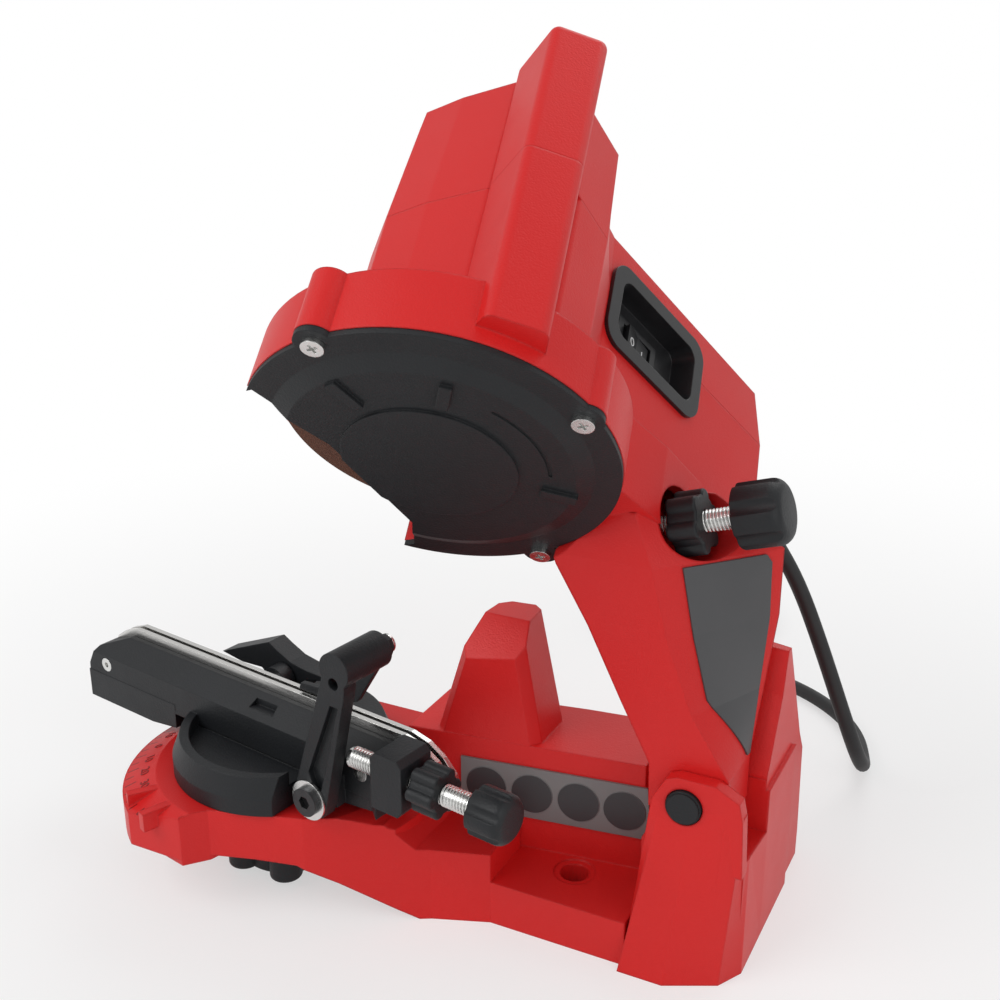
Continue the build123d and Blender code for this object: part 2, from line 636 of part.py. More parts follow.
with BuildPart() as shell_front:
    with BuildSketch(head.offset(7)) as motor_outline:
        Polygon(*motor_shape, align=None)
        fillet(motor_outline.vertices(), 1.8)
    extrude(amount=seam - 7)
    with BuildSketch(head.offset(-8)) as fin_outline:
        Polygon(*fin_shape, align=None)
        fillet(fin_outline.vertices(), 3.4)
    extrude(amount=seam + 8)
    with BuildSketch(head.offset(-10)):
        Polygon(*arm_shape, align=None)
    extrude(amount=seam + 10)
    add(arm_low.part)
    # neck between collar and lower arm
    with BuildSketch(head.offset(-10)):
        Polygon((10, 47), (46, 34), (52, 60), (58, 118), (42, 118), (34, 85), (27, 62), align=None)
    extrude(amount=30)
    # round collar with rim, screw lugs and the open side
    with BuildSketch(head.offset(-13.5)):
        Circle(61.8)
        with Locations(*lug_at):
            Circle(6.6)
    extrude(amount=22)
    with BuildSketch(head.offset(-14)):
        Circle(58.4)
    extrude(amount=18, mode=Mode.SUBTRACT)
    with BuildSketch(head.offset(-30)):
        Polygon(*opening_side, align=None)
    extrude(amount=36.5, mode=Mode.SUBTRACT)
    with BuildSketch(head.offset(-30)):
        Circle(62)
        with Locations(*lug_at):
            Circle(6.8)
    extrude(amount=16.5, mode=Mode.SUBTRACT)
    # hollow for motor, wiring and switch
    with BuildSketch(head.offset(11)):
        Circle(32.6)
        Polygon((0, -20), (40, -16), (49, -19), (49, -4), (40, 20), (0, 20), align=None)
    extrude(amount=80, mode=Mode.SUBTRACT)
    with BuildSketch(head.offset(6)):
        Polygon((10, 12), (40, 16), (56, 116), (45, 116), (37.5, 86), (31, 60), (12, 42), align=None)
    extrude(amount=80, mode=Mode.SUBTRACT)
    # room for the shaft and front bearing
    with BuildSketch(head.offset(0)):
        Circle(6)
    extrude(amount=12, mode=Mode.SUBTRACT)
    # boss and bore of the depth screw, hub bore with room for bushes and spring
    with BuildSketch(rod_plane.offset(-14)):
        Circle(9)
    extrude(amount=14)
    with BuildSketch(rod_plane.offset(0)):
        Circle(13.5)
    extrude(amount=60, mode=Mode.SUBTRACT)
    with BuildSketch(rod_plane.offset(-60)):
        Circle(rod_r + 0.06)
    extrude(amount=80, mode=Mode.SUBTRACT)
    with BuildSketch(pivot.offset(0)):
        Circle(7)
    extrude(amount=40, mode=Mode.SUBTRACT)
    with BuildSketch(pivot.offset(10.4)):
        Circle(8.4)
    extrude(amount=13.6, mode=Mode.SUBTRACT)

with BuildPart() as fin_end:
    with BuildSketch(head.offset(seam)) as fin_end_outline:
        Polygon(*fin_shape, align=None)
        fillet(fin_end_outline.vertices(), 3.4)
    extrude(amount=118 - seam)
    fillet(fin_end.faces().sort_by(Axis(disc_at, head_n))[-1].edges(), 3.2)

with BuildPart() as shell_rear:
    # motor top, stepped bulge beside it, fin and the arm's rear half
    with BuildSketch(head.offset(seam)):
        Polygon((-34, -14), (-30, -22), (-20, -31), (-13, -37), (4, -38), (26.7, -36.6), (38, -26), (40, 0),
                (36, 22), (24, 32), (5, 35), (-14, 32), (-28, 21), (-34, 8), align=None)
    with BuildSketch(head.offset(114)):
        Polygon((-31, -13), (-28, -20), (-19, -28), (-12, -34), (4, -35), (25, -34), (35, -25), (37, 0),
                (33, 20), (22, 29), (5, 32), (-12, 29), (-25, 19), (-31, 8), align=None)
    loft(ruled=True)
    with BuildSketch(head.offset(seam)):
        Polygon((20, -30), (43, -20), (53, -24), (53, -2.5), (43.6, 18.7), (20, 30), align=None)
    with BuildSketch(head.offset(100)):
        Polygon((20, -28), (42, -20), (51.5, -23), (51.5, -3), (40, 6), (20, 20), align=None)
    loft(ruled=True)
    add(fin_end.part)
    with BuildSketch(head.offset(seam)):
        Polygon((5, 10), (45, 6), (43.6, 18.7), (60.4, 120), (42, 120), (34, 85), (27, 62), (8, 45), align=None)
    with BuildSketch(head.offset(84)):
        Polygon((8, 10), (43, 6), (42, 18.7), (57.5, 117), (44, 117), (36, 85), (29, 60), (10, 43), align=None)
    loft(ruled=True)
    # hollow
    with BuildSketch(head.offset(seam)):
        Circle(32.6)
        Polygon((0, -20), (38, -16), (48, -19), (48, -6), (38, 14), (0, 20), align=None)
    extrude(amount=36, mode=Mode.SUBTRACT)
    with BuildSketch(head.offset(seam)):
        Circle(28)
    extrude(amount=50, mode=Mode.SUBTRACT)
    with BuildSketch(head.offset(seam)):
        Polygon((12, 12), (38, 14), (40.5, 22), (54, 114), (46, 114), (38.5, 84), (32, 58), (14, 42), align=None)
    extrude(amount=21, mode=Mode.SUBTRACT)
    # rear bearing seat on four webs
    with BuildSketch(head.offset(98)):
        Circle(14)
        Rectangle(60, 3)
        Rectangle(3, 60)
        Circle(11.05, mode=Mode.SUBTRACT)
    extrude(amount=12.5)
    with BuildSketch(head.offset(105)):
        Circle(14)
    extrude(amount=5.5)
    with BuildSketch(head.offset(90)):
        Circle(5.5)
    extrude(amount=18, mode=Mode.SUBTRACT)
    # cooling slots in the motor's end
    with BuildSketch(head.offset(116)):
        with PolarLocations(21, 8, start_angle=22.5):
            SlotOverall(11, 2.6)
    extrude(amount=-8, mode=Mode.SUBTRACT)
shell_rear_cut = shell_rear.part

# switch opening, cut through both half shells, in the arm's slanted wall
wall_dir = (head_u * 16.8 + head_v * 101.3).normalized()
wall_out = wall_dir.cross(head_n)
switch_at = disc_at + head_u * 43.6 + head_v * 18.7 + wall_dir * 28.5 + head_n * 56.5
bezel_plane = Plane(origin=switch_at, x_dir=wall_dir, z_dir=wall_out)
with BuildPart() as switch_hole:
    with BuildSketch(bezel_plane.offset(2)):
        RectangleRounded(50.6, 28.6, 6)
    extrude(amount=-30)
with BuildPart() as front_done:
    add(shell_front.part)
    add(switch_hole.part, mode=Mode.SUBTRACT)
    with BuildSketch(head.offset(9)):
        Circle(11.05)
    extrude(amount=4, mode=Mode.SUBTRACT)
    # cable outlet in the arm's end
    with BuildSketch(Plane(origin=disc_at + head_u * 50 + head_v * 105 + head_n * 47, x_dir=head_u,
                           z_dir=head_v)):
        Circle(4.4)
    extrude(amount=20, mode=Mode.SUBTRACT)
front_done.part.label = "housing_front"
export_step(front_done.part, "parts/housing_front.step")
with BuildPart() as rear_done:
    add(shell_rear_cut)
    add(switch_hole.part, mode=Mode.SUBTRACT)
rear_done.part.label = "housing_rear"
export_step(rear_done.part, "parts/housing_rear.step")

with BuildPart() as bezel:
    with BuildSketch(bezel_plane):
        RectangleRounded(57, 35, 8)
    extrude(amount=1.6)
    with BuildSketch(bezel_plane):
        RectangleRounded(50.2, 28.2, 6)
    extrude(amount=-10)
    with BuildSketch(bezel_plane.offset(1.6)):
        RectangleRounded(46, 24, 5)
    with BuildSketch(bezel_plane.offset(-7)):
        RectangleRounded(41, 23, 4)
    loft(mode=Mode.SUBTRACT)
    with BuildSketch(bezel_plane.offset(0)):
        with Locations((-3, -3)):
            Rectangle(19.4, 13.2)
    extrude(amount=-12, mode=Mode.SUBTRACT)
bezel.part.label = "switch_bezel"
export_step(bezel.part, "parts/switch_bezel.step")

with BuildPart() as switch_body:
    with BuildSketch(bezel_plane.offset(-7)):
        with Locations((-3, -3)):
            Rectangle(23, 16)
            Rectangle(16.8, 11.4, mode=Mode.SUBTRACT)
    extrude(amount=1.5)
    with BuildSketch(bezel_plane.offset(-7)):
        with Locations((-3, -3)):
            Rectangle(19.2, 13)
            Rectangle(16.8, 11.4, mode=Mode.SUBTRACT)
    extrude(amount=-8)
    with BuildSketch(bezel_plane.offset(-15)):
        with Locations((-3, -3)):
            Rectangle(19.2, 13)
    extrude(amount=-5)
    with BuildSketch(bezel_plane.offset(-20)):
        with Locations((-8, -3), (2, -3)):
            Rectangle(0.8, 6.3)
    extrude(amount=-7)
switch_body.part.label = "switch_body"
export_step(switch_body.part, "parts/switch_body.step")

rocker_at = switch_at + wall_dir * -3 + head_n * -3 + wall_out * -8.6
rocker_axis = head_n
rocker_side = Plane(origin=rocker_at, x_dir=wall_dir, z_dir=head_n * -1)
with BuildPart() as rocker:
    with BuildSketch(rocker_side.offset(-5.4)):
        with BuildLine():
            Polyline((-7.6, -2), (-7.6, 5.2), (-0.5, 3.4), (7.6, 2.4), (7.6, -2), (3, -4.4), (-3, -4.4),
                     close=True)
        make_face()
    extrude(amount=10.8)
    with BuildSketch(rocker_side.offset(-5.4)):
        Circle(1)
    extrude(amount=10.8, mode=Mode.SUBTRACT)
rocker.part.label = "rocker"
export_step(rocker.part, "parts/rocker.step")

with BuildPart() as rocker_pin:
    with BuildSketch(rocker_side.offset(-5.7)):
        Circle(0.95)
    extrude(amount=11.4)
rocker_pin.part.label = "rocker_pin"
export_step(rocker_pin.part, "parts/rocker_pin.step")

# =====================================================================
# Guard, disc and motor
# =====================================================================
with BuildPart() as guard:
    with BuildSketch(head.offset(-15.6)):
        Circle(61.5)
        with Locations(*lug_at):
            Circle(6.4)
    extrude(amount=2.1)
    with BuildSketch(head.offset(-15.6)):
        Circle(53)
    with BuildSketch(head.offset(-18)):
        Circle(47)
    loft()
    with BuildSketch(head.offset(-14.2)):
        Circle(57)
    extrude(amount=1, mode=Mode.SUBTRACT)
    with BuildSketch(head.offset(-14.2)):
        Circle(51)
    with BuildSketch(head.offset(-16.2)):
        Circle(45)
    loft(mode=Mode.SUBTRACT)
    # raised round field in the middle and raised ribs around it
    with BuildSketch(head.offset(-19)):
        Circle(29)
    extrude(amount=1.6)
    with BuildSketch(head.offset(-19.4)):
        for angle, middle, run in ((-98, 40, 13), (-51, 38.5, 11), (39, 42.5, 12)):
            with Locations(Rot(0, 0, angle) * Pos(middle, 0)):
                Rectangle(run, 4)
    extrude(amount=3.2)
    with BuildSketch(head.offset(-30)):
        Polygon(*opening_side, align=None)
    extrude(amount=30, mode=Mode.SUBTRACT)
    with BuildSketch(head.offset(-30)):
        with Locations(*lug_at):
            Circle(1.8)
    extrude(amount=40, mode=Mode.SUBTRACT)
    # short groove beside the round field
    with BuildSketch(head.offset(-18.2)):
        SlotArc(arc=Edge.make_circle(39, start_angle=-28, end_angle=25), height=1.2)
    extrude(amount=0.8, mode=Mode.SUBTRACT)
guard.part.label = "guard_cover"
export_step(guard.part, "parts/guard_cover.step")

for index, spot in enumerate(lug_at):
    with BuildPart() as guard_screw:
        with BuildSketch(head.offset(-17.4)):
            with Locations(spot):
                Circle(3.6)
        extrude(amount=1.8)
        with BuildSketch(head.offset(-17.4)):
            with Locations(spot):
                Rectangle(3.6, 0.9)
                Rectangle(0.9, 3.6)
        extrude(amount=1.1, mode=Mode.SUBTRACT)
        with BuildSketch(head.offset(-15.6)):
            with Locations(spot):
                Circle(1.75)
        extrude(amount=2.1)
    guard_screw.part.label = f"guard_screw_{index + 1}"
    export_step(guard_screw.part, f"parts/guard_screw_{index + 1}.step")

with BuildPart() as disc:
    with BuildSketch(head.offset(-disc_t / 2)):
        Circle(disc_r)
        Circle(disc_bore_r, mode=Mode.SUBTRACT)
    extrude(amount=disc_t)
disc.part.label = "grinding_disc"
export_step(disc.part, "parts/grinding_disc.step")

with BuildPart() as inner_flange:
    with BuildSketch(head.offset(disc_t / 2)):
        Circle(17)
        Circle(rod_r, mode=Mode.SUBTRACT)
    extrude(amount=2.2)
    with BuildSketch(head.offset(-disc_t / 2)):
        Circle(disc_bore_r)
        Circle(rod_r, mode=Mode.SUBTRACT)
    extrude(amount=disc_t)
    with BuildSketch(head.offset(disc_t / 2 + 2.2)):
        Circle(5.6)
        Circle(rod_r, mode=Mode.SUBTRACT)
    extrude(amount=5)
inner_flange.part.label = "inner_flange"
export_step(inner_flange.part, "parts/inner_flange.step")

with BuildPart() as clamp_nut:
    with BuildSketch(head.offset(-4.2)):
        Circle(16)
        Circle(rod_r, mode=Mode.SUBTRACT)
    extrude(amount=2.6)
    with BuildSketch(head.offset(-10)):
        RegularPolygon(7.2, 6)
        Circle(rod_r, mode=Mode.SUBTRACT)
    extrude(amount=5.8)
clamp_nut.part.label = "clamp_nut"
export_step(clamp_nut.part, "parts/clamp_nut.step")

with BuildPart() as shaft:
    with BuildSketch(head.offset(-11.5)):
        Circle(rod_r)
    extrude(amount=117)
shaft.part.label = "motor_shaft"
export_step(shaft.part, "parts/motor_shaft.step")

for label, start in (("bearing_front", 9.0), ("bearing_rear", 98.0)):
    with BuildPart() as bearing:
        with BuildSketch(head.offset(start)):
            Circle(11)
            Circle(rod_r + 0.05, mode=Mode.SUBTRACT)
        extrude(amount=7)
        with BuildSketch(head.offset(start)):
            Circle(9)
            Circle(6, mode=Mode.SUBTRACT)
        extrude(amount=0.5, mode=Mode.SUBTRACT)
    bearing.part.label = label
    export_step(bearing.part, f"parts/{label}.step")

with BuildPart() as rotor:
    with BuildSketch(head.offset(28)):
        Circle(23)
        with PolarLocations(21.5, 12):
            Rectangle(5, 2, mode=Mode.SUBTRACT)
        Circle(rod_r, mode=Mode.SUBTRACT)
    extrude(amount=44)
rotor.part.label = "rotor"
export_step(rotor.part, "parts/rotor.step")

with BuildPart() as commutator:
    with BuildSketch(head.offset(77)):
        Circle(10)
        Circle(rod_r, mode=Mode.SUBTRACT)
    extrude(amount=15)
commutator.part.label = "commutator"
export_step(commutator.part, "parts/commutator.step")

with BuildPart() as stator:
    with BuildSketch(head.offset(24)):
        Circle(32.3)
        Circle(25, mode=Mode.SUBTRACT)
    extrude(amount=50)
stator.part.label = "stator"
export_step(stator.part, "parts/stator.step")

with BuildPart() as brush_ring:
    with BuildSketch(head.offset(93)):
        Circle(27.6)
        Circle(12, mode=Mode.SUBTRACT)
    extrude(amount=2.5)
    with BuildSketch(head.offset(80)):
        with Locations((-18, 0), (18, 0)):
            Rectangle(13, 10)
            Rectangle(14, 6, mode=Mode.SUBTRACT)
    extrude(amount=13)
brush_ring.part.label = "brush_holder"
export_step(brush_ring.part, "parts/brush_holder.step")

for label, side_x in (("brush_left", -1), ("brush_right", 1)):
    with BuildPart() as brush:
        with BuildSketch(head.offset(82)):
            with Locations((side_x * 16.2, 0)):
                Rectangle(12, 5.8)
        extrude(amount=8)
    brush.part.label = label
    export_step(brush.part, f"parts/{label}.step")

# =====================================================================
# Depth screw on the arm
# =====================================================================
with BuildPart() as depth_screw:
    with BuildSketch(rod_plane.offset(-22)):
        Circle(rod_r)
    extrude(amount=62)
    with BuildSketch(rod_plane.offset(-22)):
        Circle(rod_r)
    with BuildSketch(rod_plane.offset(-24)):
        Circle(2.4)
    loft()
depth_screw.part.label = "depth_screw"
export_step(depth_screw.part, "parts/depth_screw.step")

with BuildPart() as depth_lock:
    with BuildSketch(rod_plane.offset(9)):
        Circle(9.4)
        with PolarLocations(8.4, 6):
            Circle(3.2)
    extrude(amount=11)
    fillet(depth_lock.faces().filter_by(Axis(foot, head_u)).edges(), 0.9)
    with BuildSketch(rod_plane.offset(8)):
        Circle(rod_r + 0.06)
    extrude(amount=14, mode=Mode.SUBTRACT)
depth_lock.part.label = "depth_lock_nut"
export_step(depth_lock.part, "parts/depth_lock_nut.step")

with BuildPart() as depth_knob:
    with BuildSketch(rod_plane.offset(32)):
        Circle(9.6)
        with PolarLocations(8.4, 6):
            Circle(3.2)
    extrude(amount=17)
    with BuildSketch(rod_plane.offset(31)):
        Circle(rod_r + 0.06)
    extrude(amount=9.5, mode=Mode.SUBTRACT)
    fillet(depth_knob.faces().sort_by(Axis(rod_at, head_u))[-1].outer_wire().edges(), 1)
depth_knob.part.label = "depth_knob"
export_step(depth_knob.part, "parts/depth_knob.step")

# =====================================================================
# Blank plates
# =====================================================================
arm_levels = [(78.5, (179.7, 6), (181.5, 28.7)), (99, (166, 6), (182, 40)), (125, (156, 6), (184, 45)),
              (149, (149.8, 6), (184, 45))]
with BuildPart() as rating_plate:
    for (z0, c0, r0), (z1, c1, r1) in zip(arm_levels[:-1], arm_levels[1:]):
        for z, c, r in ((z0, c0, r0), (z1, c1, r1)):
            low = Vector(c[0] + (r[0] - c[0]) * 0.22, c[1] + (r[1] - c[1]) * 0.22)
            high = Vector(c[0] + (r[0] - c[0]) * 0.9, c[1] + (r[1] - c[1]) * 0.9)
            across_dir = (high - low).normalized()
            out = Vector(across_dir.Y, -across_dir.X) * 0.7
            with BuildSketch(plan.offset(z)):
                Polygon((low.X, low.Y), (high.X, high.Y), (high.X + out.X, high.Y + out.Y),
                        (low.X + out.X, low.Y + out.Y), align=None)
        loft(ruled=True)
    with BuildSketch(Plane(origin=foot + Vector(0, 0, 0), x_dir=(0, 1, 0), z_dir=(1, 0, 0))):
        Polygon((0, 104.5), (12.5, 104.5), (26, 74), (60, 74), (60, 60), (0, 60), align=None)
        Polygon((0, 160), (60, 160), (60, 136), (46, 136), (33, 160), align=None)
    extrude(amount=250, mode=Mode.SUBTRACT)
rating_plate.part.label = "rating_plate"
export_step(rating_plate.part, "parts/rating_plate.step")

# =====================================================================
# Mains cord: gland in the arm's end, free cord, coil and plug on the bench
# =====================================================================
gland_at = disc_at + head_u * 50 + head_v * 120 + head_n * 47
gland_plane = Plane(origin=gland_at, x_dir=head_u, z_dir=head_v)
with BuildPart() as gland:
    with BuildSketch(gland_plane.offset(-8)):
        Circle(4.4)
    extrude(amount=8)
    with BuildSketch(gland_plane.offset(-10)):
        Circle(5)
    extrude(amount=2)
    with BuildSketch(gland_plane):
        Circle(6.2)
    with BuildSketch(gland_plane.offset(24)):
        Circle(4.2)
    loft()
gland.part.label = "cord_gland"
export_step(gland.part, "parts/cord_gland.step")

# free cord: straight runs joined by tangent arcs, down to the bench and to the coil behind the base
coil_at = foot + Vector(74.5, 282, 0)
gland_end = gland_at + head_v * 24
bench = cord_r + 0.1
route = [gland_end, gland_end + head_v * 22, foot + Vector(170, 132, 101), foot + Vector(181, 133.5, 75),
         foot + Vector(197.6, 134.3, 32.6), foot + Vector(201.3, 145.7, 14.2), foot + Vector(199.6, 164.7, bench),
         foot + Vector(192, 188.5, bench), foot + Vector(178, 208, bench), foot + Vector(156, 224, bench),
         foot + Vector(128, 233, bench), foot + Vector(100, 235.2, bench), foot + Vector(74.5, 235.2, bench)]
radii = []
for before, here, after in zip(route[:-2], route[1:-1], route[2:]):
    run_in = here - before
    run_out = after - here
    turn = radians(run_in.get_angle(run_out))
    radii.append(0.45 * min(run_in.length, run_out.length) / tan(turn / 2))
print("cord radii", [round(r, 1) for r in radii])
with BuildPart() as cord:
    with BuildLine() as cord_line:
        FilletPolyline(*route, radius=radii)
    with BuildSketch(Plane(origin=cord_line.line @ 0, z_dir=cord_line.line % 0)):
        Circle(cord_r)
    sweep()
cord.part.label = "mains_cord"
export_step(cord.part, "parts/mains_cord.step")
free_length = sum(edge.length for edge in cord_line.edges())
print("cord volume over section times length", cord.part.volume / (3.14159265 * cord_r ** 2 * free_length))

# coil: six and a quarter turns, half of them on the bench and the rest on top
turn_step = 2 * cord_r
inner_turn = 27.0
with BuildPart() as coil_ring:
    with BuildSketch(Plane(origin=coil_at + Vector(0, 0, 0.1))):
        Circle(inner_turn + 3 * turn_step + cord_r)
        Circle(inner_turn - cord_r, mode=Mode.SUBTRACT)
    extrude(amount=7)
    with BuildSketch(Plane(origin=coil_at + Vector(0, 0, 7.1))):
        Circle(inner_turn + 3 * turn_step + cord_r)
        Circle(inner_turn - cord_r, mode=Mode.SUBTRACT)
    extrude(amount=6.4)
coil_ring.part.label = "cord_coil"
export_step(coil_ring.part, "parts/cord_coil.step")
coiled_length = 6.25 * 2 * 3.14159265 * (inner_turn + 1.5 * turn_step)
print("cord length", round(free_length + coiled_length))

# flat two-pin plug lying on the bench beside the coil, pins to the back
plug_at = coil_at + Vector(-inner_turn - 3 * turn_step, 4, 7)
plug_plane = Plane(origin=plug_at, x_dir=(1, 0, 0), z_dir=(0, 1, 0))
with BuildPart() as plug:
    with BuildSketch(plug_plane.offset(0)):
        Circle(3.6)
    with BuildSketch(plug_plane.offset(26)):
        Circle(5.2)
    loft()
    with BuildSketch(plug_plane.offset(24)):
        Rectangle(14, 11.6)
    with BuildSketch(plug_plane.offset(44)):
        Rectangle(33, 13.2)
    loft()
    with BuildSketch(plug_plane.offset(44)):
        RectangleRounded(33, 13.2, 3)
    extrude(amount=16)
    with BuildSketch(plug_plane.offset(60)):
        with Locations((-9.3, 0), (9.3, 0)):
            Circle(2)
    extrude(amount=19)
plug.part.label = "plug"
export_step(plug.part, "parts/plug.step")
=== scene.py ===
import bpy
from math import atan2, cos, pi, radians, sin, tau
from mathutils import Matrix, Vector


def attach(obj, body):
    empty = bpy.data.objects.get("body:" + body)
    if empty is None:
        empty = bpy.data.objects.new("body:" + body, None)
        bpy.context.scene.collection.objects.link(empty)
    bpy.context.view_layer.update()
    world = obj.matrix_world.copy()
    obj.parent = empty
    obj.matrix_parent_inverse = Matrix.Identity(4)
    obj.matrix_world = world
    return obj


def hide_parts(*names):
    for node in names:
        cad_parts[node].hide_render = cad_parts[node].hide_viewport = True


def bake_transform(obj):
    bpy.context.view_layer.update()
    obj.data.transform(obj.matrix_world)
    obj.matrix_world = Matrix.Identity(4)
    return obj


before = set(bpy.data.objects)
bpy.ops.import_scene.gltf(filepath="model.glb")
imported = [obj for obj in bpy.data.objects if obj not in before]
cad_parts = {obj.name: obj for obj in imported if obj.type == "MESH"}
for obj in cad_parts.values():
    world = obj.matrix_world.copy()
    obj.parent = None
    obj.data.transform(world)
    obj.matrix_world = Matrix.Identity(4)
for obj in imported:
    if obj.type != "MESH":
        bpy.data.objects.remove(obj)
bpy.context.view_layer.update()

# ---------------------------------------------------------------------
# Camera: stands in front of the bench, to the right of the tool and level with the top of its head,
# and looks down at its middle.
# ---------------------------------------------------------------------
camera_data = bpy.data.cameras.new("camera")
camera_data.sensor_width = 36.0
camera_data.lens = 46.8
camera_data.clip_start = 0.02
camera = bpy.data.objects.new("camera", camera_data)
camera.location = (0.1621, -0.4237, 0.3179)
camera.rotation_euler = (radians(70.28), 0, radians(26.65))
bpy.context.scene.collection.objects.link(camera)
bpy.context.scene.camera = camera
bpy.context.scene.view_settings.view_transform = "Standard"

# ---------------------------------------------------------------------
# Mains cord: black rubber flex of 6.6 mm. It leaves the moulded sleeve at the back of the arm, drops
# to the bench and lies there in a round coil of two layers, behind the base. The plug closes it.
# ---------------------------------------------------------------------
cord_thick = 0.0066
lower_layer, upper_layer = 0.0034, 0.0101
cord_exit = (0.03323, 0.06057, 0.13802)
cord_route = [cord_exit, (0.03816, 0.07471, 0.1219), (0.0485, 0.082, 0.101), (0.0595, 0.0835, 0.075),
              (0.0761, 0.0843, 0.0326), (0.0798, 0.0957, 0.0142), (0.0781, 0.1147, lower_layer),
              (0.0705, 0.1385, lower_layer), (0.0565, 0.158, lower_layer), (0.0345, 0.174, lower_layer),
              (0.0065, 0.183, lower_layer), (-0.0215, 0.1852, lower_layer)]
coil_centre = Vector((-0.047, 0.232, 0))
outer_turn, inner_turn = 0.0468, 0.0268
coil_turns, layer_turns, climb_turns = 6.25, 3, 0.5
turn_points = 16
for k in range(int(coil_turns * turn_points) + 1):
    turns = k / turn_points
    climbed = turns - layer_turns
    if climbed < 0:
        turn_r, turn_z = outer_turn - (outer_turn - inner_turn) * turns / layer_turns, lower_layer
    elif climbed < climb_turns:
        turn_r, turn_z = inner_turn, lower_layer + (upper_layer - lower_layer) * climbed / climb_turns
    else:
        widened = (climbed - climb_turns) / layer_turns
        turn_r, turn_z = inner_turn + (outer_turn - inner_turn) * widened, upper_layer
    around = -pi / 2 - tau * turns
    cord_route.append(coil_centre + Vector((turn_r * cos(around), turn_r * sin(around), turn_z)))
# the last two points lead the flex down into the plug
cord_route[-1] = coil_centre + Vector((-outer_turn, -0.001, 0.0085))
cord_route.append(coil_centre + Vector((-outer_turn, 0.006, 0.0071)))
cord_curve = bpy.data.curves.new("flex", "CURVE")
cord_curve.dimensions = "3D"
cord_line = cord_curve.splines.new("NURBS")
cord_line.points.add(len(cord_route) - 1)
for point, place in zip(cord_line.points, cord_route):
    point.co = (*place, 1)
cord_line.order_u = 3
cord_line.use_endpoint_u = True
cord_line.resolution_u = 6
flex = bpy.data.objects.new("flex", cord_curve)
bpy.context.scene.collection.objects.link(flex)
bpy.context.view_layer.update()
cord_path = [tuple(point.co) for point in bpy.data.meshes.new_from_object(flex).vertices]
cord_curve.bevel_depth = cord_thick / 2
cord_curve.bevel_resolution = 5
cord_curve.use_fill_caps = True
bpy.ops.object.select_all(action="DESELECT")
flex.select_set(True)
bpy.context.view_layer.objects.active = flex
bpy.ops.object.convert(target="MESH")
flex = bpy.context.object
flex.name = "flex"
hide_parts("mains_cord", "cord_coil")
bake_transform(flex)


class Wire:
    """A value or colour inside a finish. Arithmetic on it adds the Math nodes."""

    def __init__(self, finish, socket):
        self.finish = finish
        self.socket = socket

    def math(self, operation, left, right):
        return self.finish.math(operation, left, right)

    def __add__(self, other):
        return self.math("ADD", self, other)

    def __sub__(self, other):
        return self.math("SUBTRACT", self, other)

    def __rsub__(self, other):
        return self.math("SUBTRACT", other, self)

    def __mul__(self, other):
        return self.math("MULTIPLY", self, other)

    def __truediv__(self, other):
        return self.math("DIVIDE", self, other)

    def __gt__(self, other):
        return self.math("GREATER_THAN", self, other)

    def __lt__(self, other):
        return self.math("LESS_THAN", self, other)

    __radd__ = __add__
    __rmul__ = __mul__

    def most(self, other):
        return self.math("MAXIMUM", self, other)


class Finish:
    """One material: its shader, and the nodes that colour, roughen and grain it."""

    def __init__(self, name, roughness, metallic=0.0):
        self.material = bpy.data.materials.new(name)
        self.material.use_nodes = True
        self.tree = self.material.node_tree
        self.shader = self.tree.nodes["Principled BSDF"]
        self.shader.inputs["Roughness"].default_value = roughness
        self.shader.inputs["Metallic"].default_value = metallic
        self.place = self.node("ShaderNodeTexCoord", out="Object")

    def node(self, kind, settings=None, inputs=None, out=0):
        made = self.tree.nodes.new(kind)
        for key, value in (settings or {}).items():
            setattr(made, key, value)
        for key, value in (inputs or {}).items():
            if isinstance(value, Wire):
                self.tree.links.new(value.socket, made.inputs[key])
            else:
                made.inputs[key].default_value = value
        return Wire(self, made.outputs[out])

    def math(self, operation, left, right=0.0):
        return self.node("ShaderNodeMath", {"operation": operation}, {0: left, 1: right})

    def turned(self, scale=(1, 1, 1), rotation=(0, 0, 0), shift=(0, 0, 0)):
        return self.node("ShaderNodeMapping", None, {"Vector": self.place, "Scale": scale,
                                                     "Rotation": rotation, "Location": shift})

    def noise(self, scale, detail=3.0, where=None):
        return self.node("ShaderNodeTexNoise", None, {"Vector": where or self.place, "Scale": scale,
                                                      "Detail": detail})

    def mix(self, factor, low, high):
        # sockets 6 and 7 of a Mix node are its two colours
        inputs = {0: factor}
        for key, colour in ((6, low), (7, high)):
            inputs[key] = colour if isinstance(colour, Wire) else (*colour, 1)
        return self.node("ShaderNodeMix", {"data_type": "RGBA"}, inputs, out=2)

    def parts(self, where):
        split = self.node("ShaderNodeSeparateXYZ", None, {0: where}).socket.node
        return [Wire(self, axis) for axis in split.outputs]

    def set(self, name, value):
        self.tree.links.new(value.socket, self.shader.inputs[name])

    def mottle(self, scale, low, high):
        self.set("Base Color", self.mix(self.noise(scale), low, high))

    def grain(self, height, depth, edge=0.0):
        inputs = {"Height": height, "Distance": depth, "Strength": 1.0}
        if edge:
            inputs["Normal"] = self.node("ShaderNodeBevel", {"samples": 4}, {"Radius": edge})
        self.set("Normal", self.node("ShaderNodeBump", None, inputs))


# flex and sleeve: dull black rubber with a fine grain and a faint change of gloss
rubber = Finish("flex_rubber", 0.55)
rubber.shader.inputs["Base Color"].default_value = (0.012, 0.012, 0.013, 1)
rubber.grain(rubber.noise(900, 2), 0.00008)
rubber.set("Roughness", 0.5 + rubber.noise(120) * 0.15)
flex.data.materials.append(rubber.material)


def dress(finish, *nodes):
    for name in nodes:
        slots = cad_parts[name].data.materials
        slots.clear()
        slots.append(finish.material)


